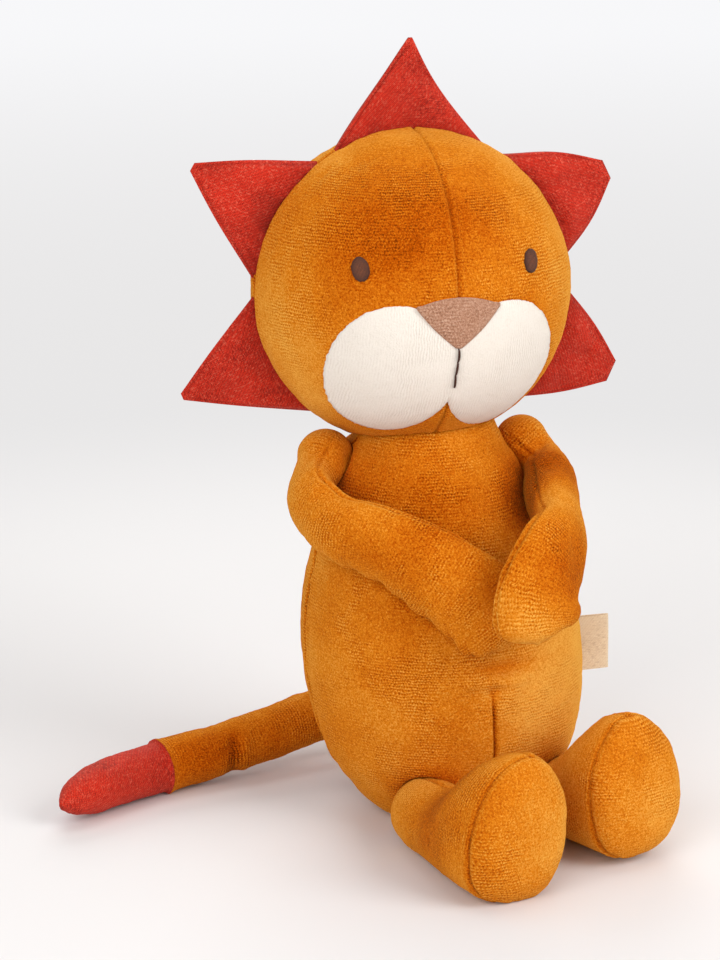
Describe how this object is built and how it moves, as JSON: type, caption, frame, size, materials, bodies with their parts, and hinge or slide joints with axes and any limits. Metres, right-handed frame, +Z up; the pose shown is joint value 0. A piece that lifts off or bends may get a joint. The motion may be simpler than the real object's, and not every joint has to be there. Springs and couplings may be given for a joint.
{
  "type": "plush lion",
  "caption": "Seated plush lion in ribbed velour with a mane of pointed woven cushions, crossed arms, turned-up feet and a tail.",
  "frame": {"origin": "middle of the flat seat, on the surface that the lion sits on", "axes": "+Z up, -Y out of the chest, +X towards the left hand"},
  "size_m": [0.1995, 0.1549, 0.2645],
  "materials": {
    "ochre_velour": "matte",
    "white_velour": "matte",
    "brown_velour": "matte",
    "brown_thread": "matte",
    "red_woven": "matte",
    "tag_ribbon": "matte",
    "fibre_filling": "matte",
    "pellet_cloth": "matte"
  },
  "bodies": {
    "torso": {"torso_front": "ochre_velour", "torso_back_left": "ochre_velour", "torso_back_right": "ochre_velour", "torso_stuffing": "fibre_filling", "pellet_bag": "pellet_cloth", "side_tag": "tag_ribbon"},
    "head": {"head_front_left": "ochre_velour", "head_front_right": "ochre_velour", "head_back_left": "ochre_velour", "head_back_right": "ochre_velour", "head_stuffing": "fibre_filling", "muzzle_patch": "white_velour", "nose_patch": "brown_velour", "mouth_stitch": "brown_thread", "eye_left": "brown_thread", "eye_right": "brown_thread", "mane_top_front": "red_woven", "mane_top_back": "red_woven", "mane_top_filling": "fibre_filling", "mane_upper_right_front": "red_woven", "mane_upper_right_back": "red_woven", "mane_upper_right_filling": "fibre_filling", "mane_lower_right_front": "red_woven", "mane_lower_right_back": "red_woven", "mane_lower_right_filling": "fibre_filling", "mane_upper_left_front": "red_woven", "mane_upper_left_back": "red_woven", "mane_upper_left_filling": "fibre_filling", "mane_lower_left_front": "red_woven", "mane_lower_left_back": "red_woven", "mane_lower_left_filling": "fibre_filling"},
    "arm_left": {"arm_left_outer": "ochre_velour", "arm_left_inner": "ochre_velour", "arm_left_stuffing": "fibre_filling"},
    "arm_right": {"arm_right_outer": "ochre_velour", "arm_right_inner": "ochre_velour", "arm_right_stuffing": "fibre_filling"},
    "leg_left": {"leg_left_outer": "ochre_velour", "leg_left_inner": "ochre_velour", "leg_left_sole": "ochre_velour", "leg_left_stuffing": "fibre_filling"},
    "leg_right": {"leg_right_outer": "ochre_velour", "leg_right_inner": "ochre_velour", "leg_right_sole": "ochre_velour", "leg_right_stuffing": "fibre_filling"},
    "tail": {"tail_sleeve": "ochre_velour", "tail_tip": "red_woven", "tail_stuffing": "fibre_filling"}
  },
  "joints": [
    {"name": "neck_turn", "type": "hinge", "parent": "torso", "child": "head", "pos_m": [-0.00836, 0.00984, 0.122], "axis": [-0.0682, 0.0802, 0.9944], "range_deg": [-35, 35]},
    {"name": "shoulder_right", "type": "hinge", "parent": "torso", "child": "arm_right", "pos_m": [-0.04379, 0.01016, 0.126], "axis": [0, 1, 0], "range_deg": [0, 110]},
    {"name": "shoulder_left", "type": "hinge", "parent": "torso", "child": "arm_left", "pos_m": [0.02651, 0.01016, 0.126], "axis": [0.2588, -0.9659, 0], "range_deg": [0, 110]},
    {"name": "hip_right", "type": "hinge", "parent": "torso", "child": "leg_right", "pos_m": [-0.02155, -0.03348, 0.0117], "axis": [0, 0, -1], "range_deg": [-5, 45]},
    {"name": "hip_left", "type": "hinge", "parent": "torso", "child": "leg_left", "pos_m": [0.02794, -0.02845, 0.0117], "axis": [0, 0, 1], "range_deg": [-8, 45]},
    {"name": "tail_root", "type": "hinge", "parent": "torso", "child": "tail", "pos_m": [-0.00147, 0.04322, 0.0215], "axis": [0, 0, -1], "range_deg": [-4, 85]}
  ]
}
